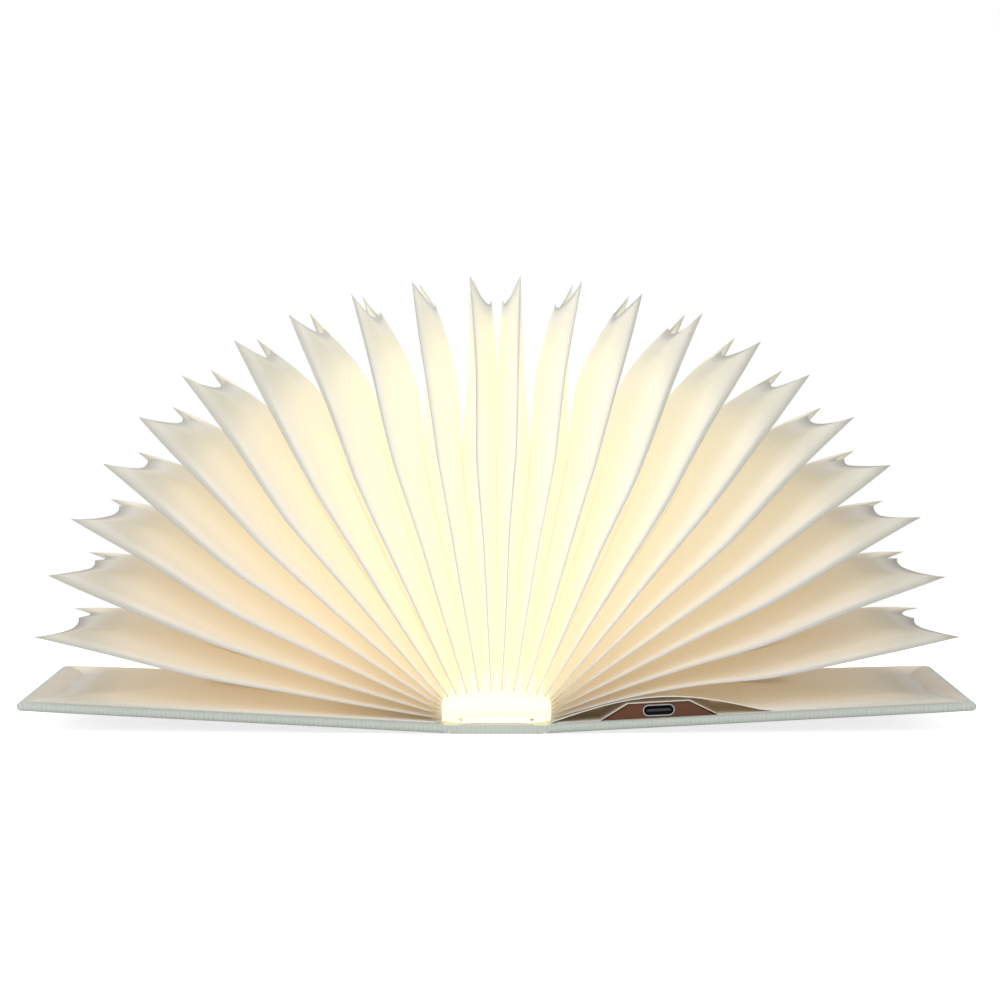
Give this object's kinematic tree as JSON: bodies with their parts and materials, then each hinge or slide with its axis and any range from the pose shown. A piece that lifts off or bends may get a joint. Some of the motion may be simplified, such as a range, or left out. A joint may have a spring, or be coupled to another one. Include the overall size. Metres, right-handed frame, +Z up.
{
  "type": "folding book lamp",
  "caption": "Book-shaped lamp whose two hinged covers open flat to spread a fan of pleated paper pages lit by a light bar along the spine.",
  "frame": {"origin": "centre of the spine's underside, at table height, midway between tail and head", "axes": "+X across the book towards the back cover's fore-edge, +Y from tail to head, +Z up from the table; stored open at rest"},
  "size_m": [0.2686, 0.16, 0.128],
  "materials": {
    "cover_cloth": "matt book cloth",
    "cover_board": "grey-brown board",
    "page_paper": "matt, lets light through",
    "end_paper": "matt",
    "adhesive_tape": "foam tape",
    "channel_metal": "satin",
    "white_board": "white solder mask",
    "led_light": "lit",
    "diffuser_plastic": "opal",
    "cap_plastic": "satin",
    "magnet_metal": "nickel plated",
    "module_plastic": "satin brown",
    "cell_foil": "dull foil",
    "lead_rubber": "satin",
    "green_board": "gloss solder mask",
    "chip_plastic": "matt",
    "port_steel": "satin",
    "tongue_plastic": "matt",
    "reed_glass": "clear",
    "flat_lead": "satin"
  },
  "bodies": {
    "spine": {"spine_board": "cover_board", "spine_cloth": "cover_cloth", "spine_liner": "end_paper", "bar_tape": "adhesive_tape", "bar_channel": "channel_metal", "led_board": "white_board", "led_chips": "led_light", "diffuser": "diffuser_plastic", "front_end_cap": "cap_plastic", "rear_end_cap": "cap_plastic", "light_sleeve": "page_paper"},
    "front_cover": {"front_board": "cover_board", "front_cloth": "cover_cloth", "front_end_leaf": "end_paper", "front_magnets": "magnet_metal", "sense_magnet": "magnet_metal"},
    "back_cover": {"back_board": "cover_board", "back_cloth": "cover_cloth", "back_end_leaf": "end_paper", "back_magnets": "magnet_metal", "module_tray": "module_plastic", "battery": "cell_foil", "battery_leads": "lead_rubber", "charge_board": "green_board", "charge_parts": "chip_plastic", "usb_shell": "port_steel", "usb_tongue": "tongue_plastic", "reed_switch": "reed_glass", "lamp_lead": "flat_lead"},
    "pleat_01_paper": {"pleat_01": "page_paper"},
    "pleat_02_paper": {"pleat_02": "page_paper"},
    "pleat_03_paper": {"pleat_03": "page_paper"},
    "pleat_04_paper": {"pleat_04": "page_paper"},
    "pleat_05_paper": {"pleat_05": "page_paper"},
    "pleat_06_paper": {"pleat_06": "page_paper"},
    "pleat_07_paper": {"pleat_07": "page_paper"},
    "pleat_08_paper": {"pleat_08": "page_paper"},
    "pleat_09_paper": {"pleat_09": "page_paper"},
    "pleat_10_paper": {"pleat_10": "page_paper"},
    "pleat_11_paper": {"pleat_11": "page_paper"},
    "centre_pleat_left_paper": {"centre_pleat_left": "page_paper"},
    "pleat_22_paper": {"pleat_22": "page_paper"},
    "pleat_21_paper": {"pleat_21": "page_paper"},
    "pleat_20_paper": {"pleat_20": "page_paper"},
    "pleat_19_paper": {"pleat_19": "page_paper"},
    "pleat_18_paper": {"pleat_18": "page_paper"},
    "pleat_17_paper": {"pleat_17": "page_paper"},
    "pleat_16_paper": {"pleat_16": "page_paper"},
    "pleat_15_paper": {"pleat_15": "page_paper"},
    "pleat_14_paper": {"pleat_14": "page_paper"},
    "pleat_13_paper": {"pleat_13": "page_paper"},
    "pleat_12_paper": {"pleat_12": "page_paper"},
    "centre_pleat_right_paper": {"centre_pleat_right": "page_paper"}
  },
  "joints": [
    {"name": "front_cover_hinge", "type": "hinge", "parent": "spine", "child": "front_cover", "pos_m": [-0.0125, 0, 0.00095], "axis": [0, 1, 0], "range_deg": [-98, 87], "deforming": ["light_sleeve"]},
    {"name": "back_cover_hinge", "type": "hinge", "parent": "spine", "child": "back_cover", "pos_m": [0.0125, 0, 0.00095], "axis": [0, -1, 0], "range_deg": [-98, 87], "deforming": ["light_sleeve", "lamp_lead"]},
    {"name": "pleat_01_fold", "type": "hinge", "parent": "front_cover", "child": "pleat_01_paper", "pos_m": [-0.02215, 0, -0.04211], "axis": [0, 1, 0], "range_deg": [-4.16, 4.69], "deforming": ["pleat_01"]},
    {"name": "pleat_02_fold", "type": "hinge", "parent": "pleat_01_paper", "child": "pleat_02_paper", "pos_m": [-0.01395, 0, 0.00514], "axis": [0, 1, 0], "range_deg": [-8.27, 9.31], "deforming": ["pleat_02"]},
    {"name": "pleat_03_fold", "type": "hinge", "parent": "pleat_02_paper", "child": "pleat_03_paper", "pos_m": [-0.01378, 0, 0.00703], "axis": [0, 1, 0], "range_deg": [-8.18, 9.21], "deforming": ["pleat_03"]},
    {"name": "pleat_04_fold", "type": "hinge", "parent": "pleat_03_paper", "child": "pleat_04_paper", "pos_m": [-0.0135, 0, 0.00888], "axis": [0, 1, 0], "range_deg": [-8.09, 9.11], "deforming": ["pleat_04"]},
    {"name": "pleat_05_fold", "type": "hinge", "parent": "pleat_04_paper", "child": "pleat_05_paper", "pos_m": [-0.0131, 0, 0.01067], "axis": [0, 1, 0], "range_deg": [-7.99, 9], "deforming": ["pleat_05"]},
    {"name": "pleat_06_fold", "type": "hinge", "parent": "pleat_05_paper", "child": "pleat_06_paper", "pos_m": [-0.01303, 0, 0.01196], "axis": [0, 1, 0], "range_deg": [-7.88, 8.87], "deforming": ["pleat_06"]},
    {"name": "pleat_07_fold", "type": "hinge", "parent": "pleat_06_paper", "child": "pleat_07_paper", "pos_m": [-0.01311, 0, 0.00727], "axis": [0, 1, 0], "range_deg": [-7.75, 8.72], "deforming": ["pleat_07"]},
    {"name": "pleat_08_fold", "type": "hinge", "parent": "pleat_07_paper", "child": "pleat_08_paper", "pos_m": [-0.01162, 0, 0.00103], "axis": [0, 1, 0], "range_deg": [-7.59, 8.55], "deforming": ["pleat_08"]},
    {"name": "pleat_09_fold", "type": "hinge", "parent": "pleat_08_paper", "child": "pleat_09_paper", "pos_m": [-0.00952, 0, -0.00423], "axis": [0, 1, 0], "range_deg": [-7.4, 8.33], "deforming": ["pleat_09"]},
    {"name": "pleat_10_fold", "type": "hinge", "parent": "pleat_09_paper", "child": "pleat_10_paper", "pos_m": [-0.00699, 0, -0.00814], "axis": [0, 1, 0], "range_deg": [-7.15, 8.05], "deforming": ["pleat_10"]},
    {"name": "pleat_11_fold", "type": "hinge", "parent": "pleat_10_paper", "child": "pleat_11_paper", "pos_m": [-0.00421, 0, -0.01043], "axis": [0, 1, 0], "range_deg": [-6.76, 7.61], "deforming": ["pleat_11"]},
    {"name": "centre_pleat_left_fold", "type": "hinge", "parent": "pleat_11_paper", "child": "centre_pleat_left_paper", "pos_m": [-0.00153, 0, -0.00858], "axis": [0, 1, 0], "range_deg": [-6.03, 6.79], "deforming": ["centre_pleat_left"]},
    {"name": "pleat_22_fold", "type": "hinge", "parent": "back_cover", "child": "pleat_22_paper", "pos_m": [0.02215, 0, -0.04211], "axis": [0, -1, 0], "range_deg": [-4.16, 4.69], "deforming": ["pleat_22"]},
    {"name": "pleat_21_fold", "type": "hinge", "parent": "pleat_22_paper", "child": "pleat_21_paper", "pos_m": [0.01395, 0, 0.00514], "axis": [0, -1, 0], "range_deg": [-8.27, 9.31], "deforming": ["pleat_21"]},
    {"name": "pleat_20_fold", "type": "hinge", "parent": "pleat_21_paper", "child": "pleat_20_paper", "pos_m": [0.01378, 0, 0.00703], "axis": [0, -1, 0], "range_deg": [-8.18, 9.21], "deforming": ["pleat_20"]},
    {"name": "pleat_19_fold", "type": "hinge", "parent": "pleat_20_paper", "child": "pleat_19_paper", "pos_m": [0.0135, 0, 0.00888], "axis": [0, -1, 0], "range_deg": [-8.09, 9.11], "deforming": ["pleat_19"]},
    {"name": "pleat_18_fold", "type": "hinge", "parent": "pleat_19_paper", "child": "pleat_18_paper", "pos_m": [0.0131, 0, 0.01067], "axis": [0, -1, 0], "range_deg": [-7.99, 9], "deforming": ["pleat_18"]},
    {"name": "pleat_17_fold", "type": "hinge", "parent": "pleat_18_paper", "child": "pleat_17_paper", "pos_m": [0.01303, 0, 0.01196], "axis": [0, -1, 0], "range_deg": [-7.88, 8.87], "deforming": ["pleat_17"]},
    {"name": "pleat_16_fold", "type": "hinge", "parent": "pleat_17_paper", "child": "pleat_16_paper", "pos_m": [0.01311, 0, 0.00727], "axis": [0, -1, 0], "range_deg": [-7.75, 8.72], "deforming": ["pleat_16"]},
    {"name": "pleat_15_fold", "type": "hinge", "parent": "pleat_16_paper", "child": "pleat_15_paper", "pos_m": [0.01162, 0, 0.00103], "axis": [0, -1, 0], "range_deg": [-7.59, 8.55], "deforming": ["pleat_15"]},
    {"name": "pleat_14_fold", "type": "hinge", "parent": "pleat_15_paper", "child": "pleat_14_paper", "pos_m": [0.00952, 0, -0.00423], "axis": [0, -1, 0], "range_deg": [-7.4, 8.33], "deforming": ["pleat_14"]},
    {"name": "pleat_13_fold", "type": "hinge", "parent": "pleat_14_paper", "child": "pleat_13_paper", "pos_m": [0.00699, 0, -0.00814], "axis": [0, -1, 0], "range_deg": [-7.15, 8.05], "deforming": ["pleat_13"]},
    {"name": "pleat_12_fold", "type": "hinge", "parent": "pleat_13_paper", "child": "pleat_12_paper", "pos_m": [0.00421, 0, -0.01043], "axis": [0, -1, 0], "range_deg": [-6.76, 7.61], "deforming": ["pleat_12"]},
    {"name": "centre_pleat_right_fold", "type": "hinge", "parent": "pleat_12_paper", "child": "centre_pleat_right_paper", "pos_m": [0.00153, 0, -0.00858], "axis": [0, -1, 0], "range_deg": [-6.03, 6.79], "deforming": ["centre_pleat_right"]}
  ],
  "couplings": [
    {"joint": "pleat_01_fold", "follows": "front_cover_hinge", "ratio": -0.047613},
    {"joint": "pleat_02_fold", "follows": "front_cover_hinge", "ratio": -0.094773},
    {"joint": "pleat_03_fold", "follows": "front_cover_hinge", "ratio": -0.093826},
    {"joint": "pleat_04_fold", "follows": "front_cover_hinge", "ratio": -0.092785},
    {"joint": "pleat_05_fold", "follows": "front_cover_hinge", "ratio": -0.091625},
    {"joint": "pleat_06_fold", "follows": "front_cover_hinge", "ratio": -0.090315},
    {"joint": "pleat_07_fold", "follows": "front_cover_hinge", "ratio": -0.088806},
    {"joint": "pleat_08_fold", "follows": "front_cover_hinge", "ratio": -0.08702},
    {"joint": "pleat_09_fold", "follows": "front_cover_hinge", "ratio": -0.084818},
    {"joint": "pleat_10_fold", "follows": "front_cover_hinge", "ratio": -0.081908},
    {"joint": "pleat_11_fold", "follows": "front_cover_hinge", "ratio": -0.077424},
    {"joint": "centre_pleat_left_fold", "follows": "front_cover_hinge", "ratio": -0.069087},
    {"joint": "pleat_22_fold", "follows": "back_cover_hinge", "ratio": -0.047613},
    {"joint": "pleat_21_fold", "follows": "back_cover_hinge", "ratio": -0.094773},
    {"joint": "pleat_20_fold", "follows": "back_cover_hinge", "ratio": -0.093826},
    {"joint": "pleat_19_fold", "follows": "back_cover_hinge", "ratio": -0.092785},
    {"joint": "pleat_18_fold", "follows": "back_cover_hinge", "ratio": -0.091625},
    {"joint": "pleat_17_fold", "follows": "back_cover_hinge", "ratio": -0.090315},
    {"joint": "pleat_16_fold", "follows": "back_cover_hinge", "ratio": -0.088806},
    {"joint": "pleat_15_fold", "follows": "back_cover_hinge", "ratio": -0.08702},
    {"joint": "pleat_14_fold", "follows": "back_cover_hinge", "ratio": -0.084818},
    {"joint": "pleat_13_fold", "follows": "back_cover_hinge", "ratio": -0.081908},
    {"joint": "pleat_12_fold", "follows": "back_cover_hinge", "ratio": -0.077424},
    {"joint": "centre_pleat_right_fold", "follows": "back_cover_hinge", "ratio": -0.069087}
  ]
}
